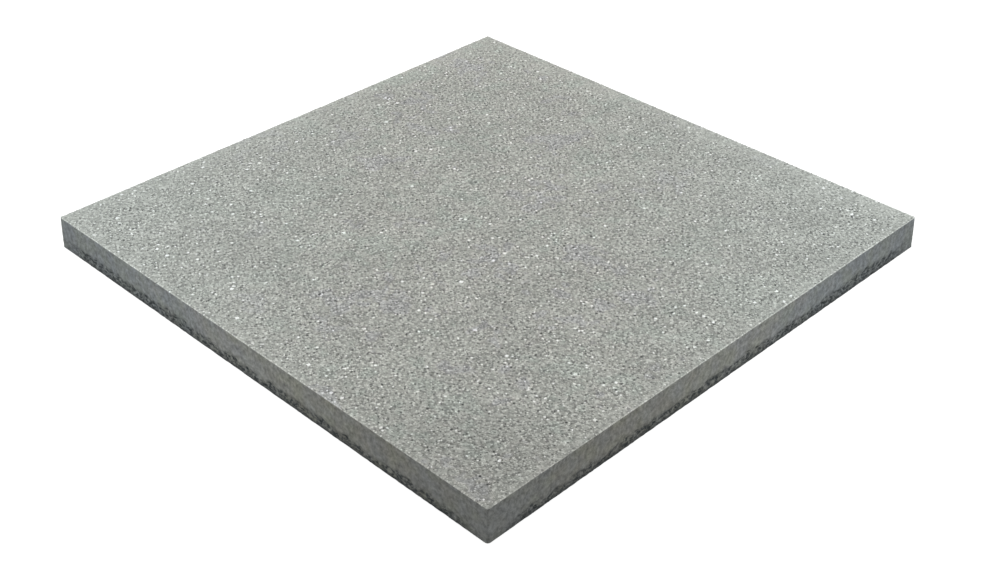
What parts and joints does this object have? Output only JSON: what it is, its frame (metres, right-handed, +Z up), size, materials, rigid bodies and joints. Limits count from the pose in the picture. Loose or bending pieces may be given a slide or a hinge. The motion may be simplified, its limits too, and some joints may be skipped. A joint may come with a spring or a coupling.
{
  "type": "concrete paving slab",
  "caption": "Square concrete paving slab with a blasted fine-aggregate wearing face, drafted sides with a sharp arris, and a flat bed face.",
  "frame": {"origin": "middle of the bed face, in the plane that the slab lies on", "axes": "+Z up through the thickness to the wearing face, +X and +Y along the sides; the picture looks over the corner between the +X and -Y sides"},
  "size_m": [0.6, 0.6, 0.035],
  "materials": {
    "concrete": "matte"
  },
  "bodies": {
    "root": {"slab": "concrete"}
  },
  "joints": []
}
